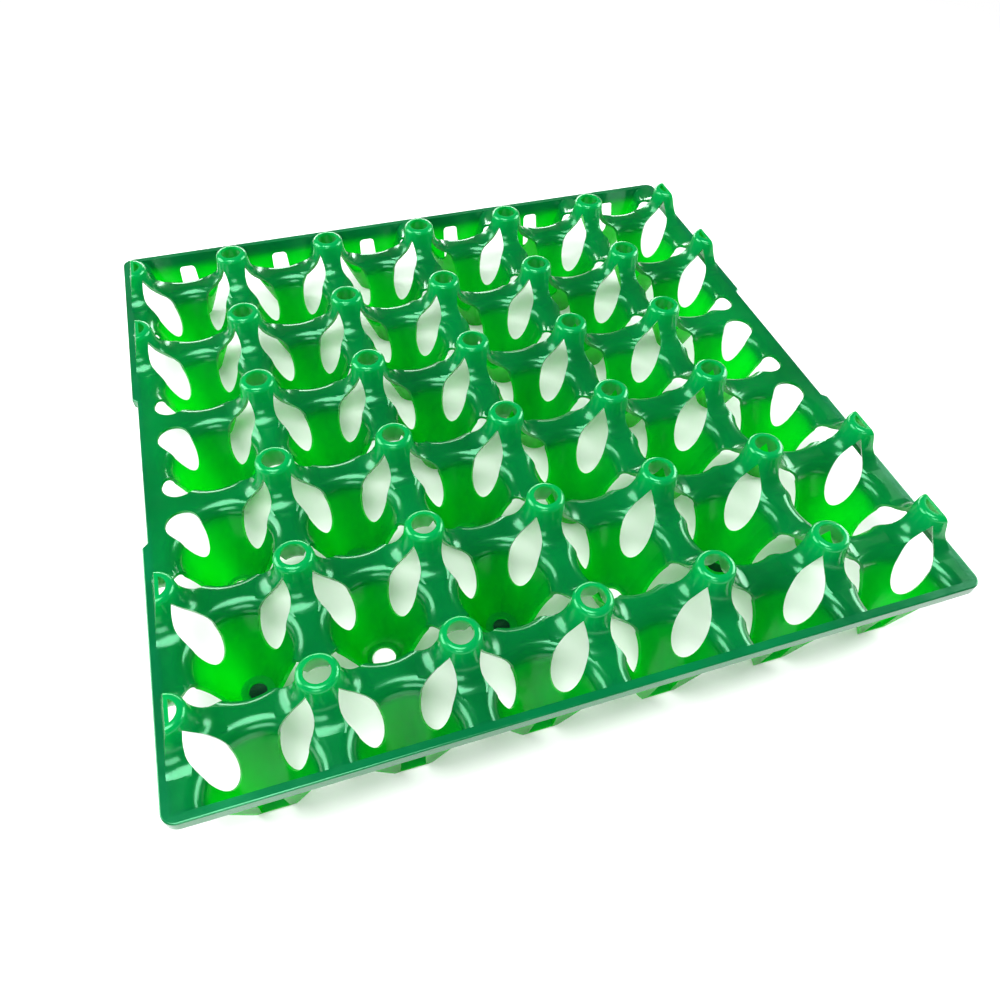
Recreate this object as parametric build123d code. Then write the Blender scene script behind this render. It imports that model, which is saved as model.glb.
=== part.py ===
from math import acos, atan2, cos, degrees, radians, sin, sqrt
import os

from build123d import *

# Egg tray with thirty conical cups, moulded as one piece. Millimetres, +Z up.
# The origin lies at the centre of the tray, on the table it stands on.

# Layout
pitch = 48.0
columns = 6
rows = 5
rim_length = 300.0
rim_width = 300.0
tray_height = 47.0
deck_height = 32.5
wall = 1.3

# Conical cups, with an open drain or a shallow dimple in each floor by turns
floor_radius = 6.3
crease_radius = 17.2
crease_height = 27.0
mouth_radius = 23.0
drain_radius = 4.6
dimple_radius = 3.6
dimple_depth = 0.6

# Hollow posts
post_radius = 7.2
post_taper = 0.12
crown_round = 2.2
post_hole_radius = 4.6
flare_radius = 9.0
hollow_flare_radius = 7.5
foot_trim = 0.3

# Leaf-shaped windows between each post and the cups around it, cut at a slant,
# and oval windows at the sides where no post stands
leaf_length = 26.0
leaf_width = 12.3
leaf_tip = 4.0
leaf_drop = 4.6
leaf_lean = 45.0
leaf_inward = 12.4
leaf_outward = 8.0
oval_length = 13.8
oval_width = 13.2
oval_start = 8.2
oval_bottom = 4.0
side_window_shift = 1.0

# Rim bead, its corners and the finger notch at each side
bead_width = 3.2
bead_height = 4.3
corner_radius = 5.0
edge_round = 0.6
notch_length = 84.0
notch_depth = 2.0
notch_post_rows = 2

# Half cups along the front and back, with a slot in each outer wall
foot_inset = 8.5
slot_top_width = 7.5
slot_foot_width = 9.5
slot_drop = 6.0
slot_round = 2.0

# Half posts along the two sides
half_post_inset = 6.9
half_post_land = 0.4

# Small clearances: how far a cutting form runs past a face, how far a flare sinks
# into the deck, and the least radius of a round
overlap = 1.0
flare_sink = 0.05
least_round = 0.4

# Heights and slopes that follow from the sizes above
deck_under = deck_height - wall
floor_top = wall
half_length = rim_length / 2
half_width = rim_width / 2
cone_slope = (crease_radius - floor_radius) / (crease_height - floor_top)
cone_wall = wall * sqrt(1 + cone_slope**2)
mouth_rise = deck_height - crease_height
mouth_span = mouth_radius - crease_radius
mouth_round = (mouth_span**2 + mouth_rise**2) / (2 * mouth_rise)
mouth_centre = deck_height - mouth_round
post_tilt = atan2(post_taper, 1)

# Outer wall of the half cups, leaning inwards towards its foot
wall_head = half_width - bead_width
wall_foot = half_width - foot_inset - wall
wall_lean = (wall_head - wall_foot) / deck_height
lean_wall = wall * sqrt(1 + wall_lean**2)

# Outer face of the half posts, leaning inwards towards the top
side_top = half_length - half_post_inset
side_land = half_length - bead_width - half_post_land + wall
side_lean = (side_land - side_top) / (tray_height - deck_under)
side_wall = wall * sqrt(1 + side_lean**2)

# Centres of the cups, half cups and posts
cell_x = [pitch * (i - (columns - 1) / 2) for i in range(columns)]
cell_y = [pitch * (j - (rows - 1) / 2) for j in range(rows)]
half_cell_y = [cell_y[0] - pitch, cell_y[-1] + pitch]
post_x = [pitch * (i - columns / 2) for i in range(columns + 1)]
post_y = [pitch * (j - rows / 2) for j in range(rows + 1)]
notch_first = (len(post_y) - notch_post_rows) // 2
half_post_y = post_y[:notch_first] + post_y[notch_first + notch_post_rows:]


def path(*points):
    return Polyline(*[(r, 0, z) for r, z in points])


def arc(centre, radius, start, end):
    angles = [radians(a) for a in (start, (start + end) / 2, end)]
    return ThreePointArc(*[
        (centre[0] + radius * cos(a), 0, centre[1] + radius * sin(a)) for a in angles
    ])


def spun(edges):
    return revolve(make_face(edges), Axis.Z)


# Air in one cup: floor, cone up to the crease, round mouth up to the deck
def cup_air():
    top = deck_height + overlap
    crease_angle = degrees(atan2(crease_height - mouth_centre, -mouth_span))
    sides = path((mouth_radius, deck_height), (mouth_radius, top), (0, top), (0, floor_top),
                 (floor_radius, floor_top), (crease_radius, crease_height))
    mouth = arc((mouth_radius, mouth_centre), mouth_round, crease_angle, 90)
    return spun([sides, mouth])


# The same cup from below, one wall thickness larger
def cup_body():
    inner_round = mouth_round - wall
    foot = floor_radius + cone_wall - cone_slope * floor_top
    low = -overlap
    sides = path((mouth_radius, deck_under), (mouth_radius, deck_height), (0, deck_height),
                 (0, low), (foot + cone_slope * low, low), (foot, 0),
                 (mouth_radius - inner_round, mouth_centre))
    mouth = arc((mouth_radius, mouth_centre), inner_round, 180, 90)
    return spun([sides, mouth])


# Post outside (inset 0) or the hollow inside it (inset one wall): rounded crown,
# tapered neck and a flare that curves out onto the deck
def post_form(inset, flare):
    top = tray_height - inset
    foot = deck_height - inset - flare_sink
    base = foot - overlap
    neck = post_radius - inset / cos(post_tilt)
    crown = max(crown_round - inset, least_round)
    crown_z = top - crown
    crown_r = neck + post_taper * (tray_height - crown_z) - crown / cos(post_tilt)
    crown_edge = (crown_r + crown * cos(post_tilt), crown_z + crown * sin(post_tilt))
    flare_z = foot + flare
    neck_z = flare_z - flare * sin(post_tilt)
    neck_r = neck + post_taper * (tray_height - neck_z)
    flare_r = neck_r + flare * cos(post_tilt)
    return spun([
        path((flare_r, foot), (flare_r, base), (0, base), (0, top), (crown_r, top)),
        arc((crown_r, crown_z), crown, 90, degrees(post_tilt)),
        path(crown_edge, (neck_r, neck_z)),
        arc((flare_r, flare_z), flare, 180 + degrees(post_tilt), 270),
    ])


# Air over the mouth of a cup, nearly tangent to its round, that trims the feet of the flares
def mouth_air():
    base = deck_height - flare_sink - overlap
    rise = base - mouth_centre
    run = sqrt(mouth_round**2 - rise**2)
    slope = run / rise
    start = mouth_radius - run + foot_trim
    low = base - overlap
    high = base + slope * (mouth_radius - start)
    return spun([path((0, low), (start - overlap / slope, low), (mouth_radius, high),
                      (mouth_radius, tray_height), (0, tray_height), (0, low))])


# Post outside, with its foot trimmed by the mouths of the four cups around it
def outer_post():
    air = mouth_air()
    sides = (-pitch / 2, pitch / 2)
    return post_form(0, flare_radius).cut(*[Pos(x, y, 0) * air for x in sides for y in sides])


# Plan of the rim: rounded corners and a shallow finger notch at each side
def rim_plan(inset):
    low = half_length - notch_depth
    half_notch = notch_length / 2
    half_low = half_notch - notch_depth
    notch = Polygon((half_length, half_notch), (low, half_low), (low, -half_low),
                    (half_length, -half_notch), align=None)
    outline = Rectangle(rim_length, rim_width) - notch - mirror(notch, Plane.YZ)
    ends = outline.vertices().group_by(Axis.Y)
    outline = fillet(ends[0] + ends[-1], corner_radius)
    return offset(outline, -inset) if inset else outline


# Everything beyond the leaning wall of the half cups at the back
def beyond_wall(shift):
    low = -2 * overlap
    high = tray_height + overlap
    corners = [(wall_foot + wall_lean * low + shift, low), (rim_width, low),
               (rim_width, high), (wall_foot + wall_lean * high + shift, high)]
    face = make_face(Polyline(*[(0, y, z) for y, z in corners], close=True))
    return extrude(face, amount=rim_length, both=True, dir=(1, 0, 0))


# Everything beyond the leaning face of the half posts at the right
def beyond_side(shift):
    high = tray_height + overlap
    corners = [(side_top + side_lean * tray_height - shift, 0), (rim_length, 0),
               (rim_length, high), (side_top - side_lean * overlap - shift, high)]
    face = make_face(Polyline(*[(x, 0, z) for x, z in corners], close=True))
    return extrude(face, amount=rim_width, both=True, dir=(0, 1, 0))


# One form at every cup, cut off by the outer wall at the half cups
def at_cells(form, trim):
    full = [Pos(x, y, 0) * form for x in cell_x for y in cell_y]
    front = [Pos(x, half_cell_y[0], 0) * form - mirror(trim, Plane.XZ) for x in cell_x]
    back = [Pos(x, half_cell_y[1], 0) * form - trim for x in cell_x]
    return full + front + back


# One form at every post, cut off by the outer face at the half posts
def at_posts(form, trim):
    full = [Pos(x, y, 0) * form for x in post_x[1:-1] for y in post_y]
    left = [Pos(post_x[0], y, 0) * form - mirror(trim, Plane.YZ) for y in half_post_y]
    right = [Pos(post_x[-1], y, 0) * form - trim for y in half_post_y]
    return full + left + right


# Leaf with its pointed end high on the neck of a post, swept along the slant of the cut
def leaf():
    half = leaf_length / 2
    reach = half + leaf_tip
    touch = degrees(acos(-half / reach))
    arc = EllipticalCenterArc((0, 0), half, leaf_width / 2, -touch, arc_size=2 * touch)
    outline = make_face([arc, Line(arc @ 1, (-reach, 0)), Line((-reach, 0), arc @ 0)])
    along = Vector(cos(radians(leaf_lean)), 0, sin(radians(leaf_lean)))
    down = Vector(sin(radians(leaf_lean)), 0, -cos(radians(leaf_lean)))
    tip = Vector(post_radius + post_taper * leaf_drop, 0, tray_height - leaf_drop)
    start = Plane(tip + down * reach - along * leaf_inward, x_dir=down, z_dir=along)
    return extrude(start * outline, amount=leaf_inward + leaf_outward, dir=along)


# Oval cut straight up and down
def oval():
    form = extrude(Ellipse(oval_length / 2, oval_width / 2), amount=tray_height - oval_bottom)
    return Pos(oval_start + oval_length / 2, 0, oval_bottom) * form


# Windows on the diagonals from each post
def windows():
    posted = leaf()
    bare = oval()
    inward = {post_x[0]: (45, 315), post_x[-1]: (135, 225)}
    shift = {post_x[0]: -side_window_shift, post_x[-1]: side_window_shift}
    return [
        Pos(x + shift.get(x, 0), y, 0) * Rot(0, 0, turn)
        * (bare if x in inward and y not in half_post_y else posted)
        for x in post_x for y in post_y for turn in inward.get(x, (45, 135, 225, 315))
    ]


# Slots through the outer walls of the half cups, rounded at the top
def slots():
    top = deck_height - slot_drop
    half_top = slot_top_width / 2
    half_foot = slot_foot_width / 2
    face = Polygon((-half_foot, floor_top), (half_foot, floor_top), (half_top, top),
                   (-half_top, top), align=None)
    face = fillet(face.vertices().group_by(Axis.Y)[-1], slot_round)
    slot = extrude(Plane.XZ * face, amount=half_width - wall_foot)
    front = [Pos(x, -wall_foot, 0) * slot for x in cell_x]
    back = [Pos(x, half_width, 0) * slot for x in cell_x]
    return front + back


# Drains and dimples in the cup floors, and holes in the post tops
def round_holes():
    drain = Pos(0, 0, -overlap) * extrude(Circle(drain_radius), amount=wall + 2 * overlap)
    dimple = extrude(Circle(dimple_radius), amount=dimple_depth + overlap)
    dimple = Pos(0, 0, floor_top - dimple_depth) * dimple
    top = extrude(Circle(post_hole_radius), amount=wall + 2 * overlap)
    top = Pos(0, 0, tray_height - wall - overlap) * top
    floors = [
        Pos(x, y, 0) * (drain if (i + j) % 2 else dimple)
        for i, x in enumerate(cell_x) for j, y in enumerate(cell_y)
    ]
    return floors + at_posts(top, beyond_side(side_wall))


# Upper side: rim bead and deck, less the cups, plus the posts
bead = Pos(0, 0, deck_height) * extrude(rim_plan(0), amount=-bead_height)
bead = fillet(bead.edges().filter_by(Plane.XY).group_by(Axis.Z)[-1], edge_round)
inside = rim_plan(bead_width)
upper = extrude(inside, amount=deck_height) + bead
upper = upper.cut(*at_cells(cup_air(), beyond_wall(0)))
upper = upper.fuse(*at_posts(outer_post(), beyond_side(0)))

# Space below the tray, taken away to leave a thin wall everywhere
lower = Pos(0, 0, -overlap) * extrude(inside, amount=deck_under + overlap)
lower = lower.cut(*at_cells(cup_body(), beyond_wall(lean_wall)))
lower = lower.fuse(*at_posts(post_form(wall, hollow_flare_radius), beyond_side(side_wall)))

tray = (upper - lower).cut(*round_holes()).cut(*slots()).cut(*windows())

os.makedirs("parts", exist_ok=True)
export_step(tray, "parts/egg_tray.step", write_pcurves=False)
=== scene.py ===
import bmesh
import bpy
from mathutils import Matrix, Vector


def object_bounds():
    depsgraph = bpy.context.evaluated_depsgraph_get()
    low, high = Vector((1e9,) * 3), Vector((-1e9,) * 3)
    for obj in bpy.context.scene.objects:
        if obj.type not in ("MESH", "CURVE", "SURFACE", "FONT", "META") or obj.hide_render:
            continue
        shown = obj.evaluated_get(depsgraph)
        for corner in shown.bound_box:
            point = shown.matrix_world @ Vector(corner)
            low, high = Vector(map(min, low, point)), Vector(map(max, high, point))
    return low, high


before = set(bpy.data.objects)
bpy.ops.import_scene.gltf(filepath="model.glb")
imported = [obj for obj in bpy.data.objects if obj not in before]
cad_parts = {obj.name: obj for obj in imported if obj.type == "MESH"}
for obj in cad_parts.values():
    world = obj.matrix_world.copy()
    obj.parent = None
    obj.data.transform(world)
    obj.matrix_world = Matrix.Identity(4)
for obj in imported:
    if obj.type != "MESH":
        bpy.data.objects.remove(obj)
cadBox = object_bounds()
print("frame loaded", [round(v, 4) for v in cadBox[1] - cadBox[0]])


def makeMaterial(name):
    mat = bpy.data.materials.new(name)
    mat.use_nodes = True
    mat.node_tree.nodes.clear()
    return mat, mat.node_tree.nodes, mat.node_tree.links


def addNode(nodes, kind, place, **values):
    node = nodes.new(kind)
    node.location = place
    for key, value in values.items():
        setattr(node, key, value)
    return node


def addMath(tree, kind, place, first, second=None):
    node = addNode(tree.nodes, "ShaderNodeMath", place, operation=kind)
    for slot, value in enumerate((first, second)):
        if isinstance(value, (int, float)):
            node.inputs[slot].default_value = value
        elif value is not None:
            tree.links.new(value, node.inputs[slot])
    return node.outputs["Value"]


def addRamp(tree, place, value, span, ends):
    node = addNode(tree.nodes, "ShaderNodeMapRange", place, interpolation_type="SMOOTHSTEP")
    for name, number in zip(("From Min", "From Max", "To Min", "To Max"), span + ends):
        node.inputs[name].default_value = number
    tree.links.new(value, node.inputs["Value"])
    return node.outputs["Result"]


def addNoise(tree, place, coords, scale, detail):
    node = addNode(tree.nodes, "ShaderNodeTexNoise", place)
    node.inputs["Scale"].default_value = scale
    node.inputs["Detail"].default_value = detail
    tree.links.new(coords, node.inputs["Vector"])
    return node.outputs["Fac"]


def addTwoColors(tree, place, value, span, colors):
    node = addNode(tree.nodes, "ShaderNodeValToRGB", place)
    for point, position, color in zip(node.color_ramp.elements, span, colors):
        point.position = position
        point.color = color
    tree.links.new(value, node.inputs["Fac"])
    return node.outputs["Color"]


# a colour mix has its share in socket 0, its two colours in 6 and 7, and its result in 2
def addColorMix(tree, place, share, color, other):
    node = addNode(tree.nodes, "ShaderNodeMix", place, data_type="RGBA")
    tree.links.new(share, node.inputs[0])
    tree.links.new(color, node.inputs[6])
    node.inputs[7].default_value = other
    return node.outputs[2]


# glossy green plastic that lets light through the thin cup walls, deeper in the rim and ridges
# (the ridges partly thicker, partly painted shade), with painted light paling the tops of the posts
greenPlastic = {
    "bodyDark": (0.0, 0.085, 0.024, 1),
    "bodyLight": (0.0, 0.135, 0.038, 1),
    # painted light: a paler colour on the post tops for the light they catch and let through
    "paintedCrownLight": (0.0, 0.26, 0.068, 1),
    "paintedCrownLightSpan": (0.033, 0.044),  # heights over which painted light turns a post paler
    "glowDeep": (0.004, 0.76, 0.006, 1),
    "glowPale": (0.014, 0.93, 0.030, 1),
    "cupGlow": 0.68,  # share of light let through below cupTopSpan
    "ridgeGlow": 0.30,  # and above it, lower partly for the thicker ridges and partly as painted shade from the hollow under them
    "cupTopSpan": (0.0245, 0.0295),
    "endGlow": 0.90,  # what the half cups keep of that share
    "endSpan": (0.120, 0.132),
    "rimGlow": 0.15,  # what the rim bead keeps of it
    "rimInset": (0.0045, 0.0020),  # in from the outer edge
    "cloudScale": 26,
    "cloudDetail": 3,
    "cloudSpan": (0.3, 0.72),
    "flowScale": 75,
    "flowDetail": 2,
    "bumpStrength": 0.012,
    "bumpDistance": 0.0006,
    "scuffScale": 160,
    "scuffDetail": 6,
    "scuffSpan": (0.35, 0.75),
    "roughSpan": (0.18, 0.26),
    "ior": 1.49,
    "gloss": 0.85,
    "glossTint": (0.16, 1.0, 0.50, 1),
    "coat": 0.35,
    "coatRough": 0.14,
    "coatIor": 1.5,
}

# thick plugs in every other whole cup read almost black
floorPlugs = {
    "pitch": 0.048,
    "edge": (0.0030, 0.0038),  # distance from the middle of the cup
    "height": (0.003, 0.004),
    "rowLimit": 2.5,  # leaves out the half cups
    "color": (0.0, 0.012, 0.004, 1),
}


def addPlugMask(tree, axes, p):
    pitch = p["pitch"]
    shifted = addMath(tree, "SUBTRACT", (-1900, -600), axes["X"], pitch / 2)
    across = addMath(tree, "DIVIDE", (-1700, -600), shifted, pitch)
    along = addMath(tree, "DIVIDE", (-1700, -800), axes["Y"], pitch)
    column = addMath(tree, "ROUND", (-1500, -600), across)
    row = addMath(tree, "ROUND", (-1500, -800), along)
    offX = addMath(tree, "SUBTRACT", (-1300, -600), across, column)
    offY = addMath(tree, "SUBTRACT", (-1300, -800), along, row)
    squareX = addMath(tree, "POWER", (-1100, -600), offX, 2)
    squareY = addMath(tree, "POWER", (-1100, -800), offY, 2)
    away = addMath(tree, "SQRT", (-750, -700), addMath(tree, "ADD", (-900, -700), squareX, squareY))
    near = addRamp(tree, (-450, -700), addMath(tree, "MULTIPLY", (-600, -700), away, pitch),
                   p["edge"], (1, 0))
    odd = addMath(tree, "PINGPONG", (-900, -1000), addMath(tree, "ADD", (-1100, -1000), column, row), 1)
    distance = addMath(tree, "ABSOLUTE", (-1100, -1200), row)
    whole = addMath(tree, "LESS_THAN", (-900, -1200), distance, p["rowLimit"])
    chosen = addMath(tree, "MULTIPLY", (-700, -1000), odd, whole)
    low = addRamp(tree, (-700, -1400), axes["Z"], p["height"], (1, 0))
    spots = addMath(tree, "MULTIPLY", (-300, -800), near, chosen)
    return addMath(tree, "MULTIPLY", (-150, -900), spots, low)


def makeGreenPlastic(p, plugs):
    mat, nodes, links = makeMaterial("GreenTrayPlastic")
    tree = mat.node_tree
    coords = addNode(nodes, "ShaderNodeTexCoord", (-2300, 0)).outputs["Object"]
    split = addNode(nodes, "ShaderNodeSeparateXYZ", (-2100, -700))
    links.new(coords, split.inputs["Vector"])
    axes = split.outputs
    plug = addPlugMask(tree, axes, plugs)

    # slow drift of the colour, faint flow waves of the moulding, and handling scuffs
    cloud = addNoise(tree, (-1600, 450), coords, p["cloudScale"], p["cloudDetail"])
    flow = addNoise(tree, (-1600, 150), coords, p["flowScale"], p["flowDetail"])
    scuff = addNoise(tree, (-1600, -150), coords, p["scuffScale"], p["scuffDetail"])
    body = addTwoColors(tree, (-1350, 550), cloud, p["cloudSpan"], (p["bodyDark"], p["bodyLight"]))
    # painted light: the post tops turn paler with height
    crownLightShare = addRamp(tree, (-1350, 800), axes["Z"], p["paintedCrownLightSpan"], (0, 1))
    crownLit = addColorMix(tree, (-1050, 650), crownLightShare, body, p["paintedCrownLight"])
    plugged = addColorMix(tree, (-850, 550), plug, crownLit, plugs["color"])
    glow = addTwoColors(tree, (-1350, 280), cloud, p["cloudSpan"], (p["glowDeep"], p["glowPale"]))

    # share of light let through: most in the cups, a little less in the half cups
    # at the ends, far less in the rim bead, none in the plugs
    rimSpan = tuple(cadBox[1].x - inset for inset in p["rimInset"])
    sideX = addMath(tree, "ABSOLUTE", (-1900, -350), axes["X"])
    sideY = addMath(tree, "ABSOLUTE", (-1900, -450), axes["Y"])
    side = addMath(tree, "MAXIMUM", (-1700, -400), sideX, sideY)
    rim = addRamp(tree, (-1500, -400), side, rimSpan, (1, p["rimGlow"]))
    # partly painted shade: above the cup tops less light is let through, partly for the thicker ridges
    # and partly standing in for the shade in the hollow under them
    thin = addRamp(tree, (-1350, -300), axes["Z"], p["cupTopSpan"], (p["cupGlow"], p["ridgeGlow"]))
    ends = addRamp(tree, (-1500, -550), sideY, p["endSpan"], (1, p["endGlow"]))
    edges = addMath(tree, "MULTIPLY", (-1250, -450), ends, rim)
    walls = addMath(tree, "MULTIPLY", (-1100, -350), thin, edges)
    unplugged = addMath(tree, "SUBTRACT", (0, -900), 1, plug)
    share = addMath(tree, "MULTIPLY", (-900, -350), walls, unplugged)

    rough = addRamp(tree, (-1350, 0), scuff, p["scuffSpan"], p["roughSpan"])
    bump = addNode(nodes, "ShaderNodeBump", (-1350, -150))
    bump.inputs["Strength"].default_value = p["bumpStrength"]
    bump.inputs["Distance"].default_value = p["bumpDistance"]
    links.new(flow, bump.inputs["Height"])

    front = addNode(nodes, "ShaderNodeBsdfPrincipled", (-600, 350))
    front.inputs["IOR"].default_value = p["ior"]
    front.inputs["Specular IOR Level"].default_value = p["gloss"]
    front.inputs["Specular Tint"].default_value = p["glossTint"]
    front.inputs["Coat Weight"].default_value = p["coat"]
    front.inputs["Coat Roughness"].default_value = p["coatRough"]
    front.inputs["Coat IOR"].default_value = p["coatIor"]
    links.new(plugged, front.inputs["Base Color"])
    links.new(rough, front.inputs["Roughness"])
    links.new(bump.outputs["Normal"], front.inputs["Normal"])
    links.new(bump.outputs["Normal"], front.inputs["Coat Normal"])

    through = addNode(nodes, "ShaderNodeBsdfTranslucent", (-600, -100))
    links.new(glow, through.inputs["Color"])

    both = addNode(nodes, "ShaderNodeMixShader", (-200, 200))
    links.new(share, both.inputs["Fac"])
    links.new(front.outputs["BSDF"], both.inputs[1])
    links.new(through.outputs["BSDF"], both.inputs[2])
    out = addNode(nodes, "ShaderNodeOutputMaterial", (50, 200))
    links.new(both.outputs["Shader"], out.inputs["Surface"])
    return mat


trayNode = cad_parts["egg_tray"]
trayNode.data.materials.clear()
trayNode.data.materials.append(makeGreenPlastic(greenPlastic, floorPlugs))
print("tray dressed")


# plain white table top, lit by the lamps near the tray and fading to white further out
tableTop = {
    "size": 6.0,
    "drop": 0.0002,
    "color": (0.92, 0.92, 0.92, 1),
    "whiteShare": 0.10,
    "fadeSpan": (0.25, 0.75),
}


def makeTableWhite(p):
    mat, nodes, links = makeMaterial("TableWhite")
    tree = mat.node_tree
    coords = addNode(nodes, "ShaderNodeTexCoord", (-900, 700)).outputs["Object"]
    away = addNode(nodes, "ShaderNodeVectorMath", (-700, 700), operation="LENGTH")
    links.new(coords, away.inputs[0])
    fade = addRamp(tree, (-480, 700), away.outputs["Value"], p["fadeSpan"], (p["whiteShare"], 1))
    path = addNode(nodes, "ShaderNodeLightPath", (-900, 300)).outputs
    mirrored = addMath(tree, "MAXIMUM", (-700, 480), path["Is Glossy Ray"], path["Is Transmission Ray"])
    seen = addMath(tree, "MAXIMUM", (-480, 300), path["Is Camera Ray"], mirrored)
    share = addMath(tree, "MULTIPLY", (-280, 300), seen, fade)
    board = addNode(nodes, "ShaderNodeBsdfDiffuse", (-280, 100))
    board.inputs["Color"].default_value = p["color"]
    white = addNode(nodes, "ShaderNodeEmission", (-280, -60))
    white.inputs["Color"].default_value = (1, 1, 1, 1)
    white.inputs["Strength"].default_value = 1.0
    mix = addNode(nodes, "ShaderNodeMixShader", (0, 100))
    links.new(share, mix.inputs["Fac"])
    links.new(board.outputs["BSDF"], mix.inputs[1])
    links.new(white.outputs["Emission"], mix.inputs[2])
    out = addNode(nodes, "ShaderNodeOutputMaterial", (220, 100))
    links.new(mix.outputs["Shader"], out.inputs["Surface"])
    return mat


def makeTableTop(p):
    mesh = bpy.data.meshes.new("tableTop")
    bm = bmesh.new()
    bmesh.ops.create_grid(bm, x_segments=1, y_segments=1, size=p["size"] / 2)
    bmesh.ops.translate(bm, verts=bm.verts, vec=(0, 0, -p["drop"]))
    bm.to_mesh(mesh)
    bm.free()
    top = bpy.data.objects.new("tableTop", mesh)
    bpy.context.scene.collection.objects.link(top)
    mesh.materials.append(makeTableWhite(p))


makeTableTop(tableTop)
print("table laid")


# soft studio light: one wide panel above and four around the table
lampPanels = [
    {"name": "topPanel", "place": (-0.30, -0.25, 1.20), "size": (0.80, 0.60), "watts": 19.0},
    {"name": "leftPanel", "place": (-1.00, 0.35, 0.50), "size": (0.80, 0.70), "watts": 17.0},
    {"name": "rightPanel", "place": (1.00, 0.10, 0.42), "size": (0.80, 0.60), "watts": 16.0},
    {"name": "backPanel", "place": (0.10, 1.20, 0.20), "size": (1.20, 0.26), "watts": 11.0},
    {"name": "frontPanel", "place": (-0.45, -1.05, 0.60), "size": (0.60, 0.40), "watts": 6.0},
]
lampAim = (0, 0, 0.02)
room = {
    "color": (1, 1, 1, 1),
    "light": 0.05,  # what it adds to the lamps
    "white": 1.0,  # what the camera sees
}


def makeLampPanel(p):
    data = bpy.data.lights.new(p["name"], "AREA")
    data.shape = "RECTANGLE"
    data.size, data.size_y = p["size"]
    data.energy = p["watts"]
    lamp = bpy.data.objects.new(p["name"], data)
    lamp.location = p["place"]
    aim = Vector(lampAim) - Vector(p["place"])
    lamp.rotation_euler = aim.to_track_quat("-Z", "Y").to_euler()
    bpy.context.scene.collection.objects.link(lamp)


for panel in lampPanels:
    makeLampPanel(panel)


def makeRoom(p):
    world = bpy.data.worlds.new("whiteRoom")
    bpy.context.scene.world = world
    world.use_nodes = True
    nodes, links = world.node_tree.nodes, world.node_tree.links
    nodes.clear()
    path = addNode(nodes, "ShaderNodeLightPath", (-900, 200)).outputs
    seen = addMath(world.node_tree, "MAXIMUM", (-650, 200),
                   path["Is Camera Ray"], path["Is Transmission Ray"])
    strength = addNode(nodes, "ShaderNodeMapRange", (-400, 200))
    strength.inputs["To Min"].default_value = p["light"]
    strength.inputs["To Max"].default_value = p["white"]
    links.new(seen, strength.inputs["Value"])
    back = addNode(nodes, "ShaderNodeBackground", (-150, 200))
    back.inputs["Color"].default_value = p["color"]
    links.new(strength.outputs["Result"], back.inputs["Strength"])
    out = addNode(nodes, "ShaderNodeOutputWorld", (100, 200))
    links.new(back.outputs["Background"], out.inputs["Surface"])


makeRoom(room)
print("light set")


# camera at the viewing angle of the picture
eyePoint = {
    "place": (-0.0870111, -0.2544725, 0.2855526),
    "right": (0.94949, -0.311917, 0.034299),
    "up": (0.219637, 0.738663, 0.637289),
    "back": (-0.224116, -0.597566, 0.769861),
    "lens": 29.457,
    "sensor": 36,
    "clipStart": 0.01,
}


def makeCamera(p):
    data = bpy.data.cameras.new("trayCamera")
    data.sensor_width = p["sensor"]
    data.lens = p["lens"]
    data.clip_start = p["clipStart"]
    camera = bpy.data.objects.new("trayCamera", data)
    turn = Matrix((p["right"], p["up"], p["back"])).transposed().to_4x4()
    camera.matrix_world = Matrix.Translation(p["place"]) @ turn
    bpy.context.scene.collection.objects.link(camera)
    bpy.context.scene.camera = camera


makeCamera(eyePoint)
bpy.context.scene.view_settings.view_transform = "Standard"
print("camera set")
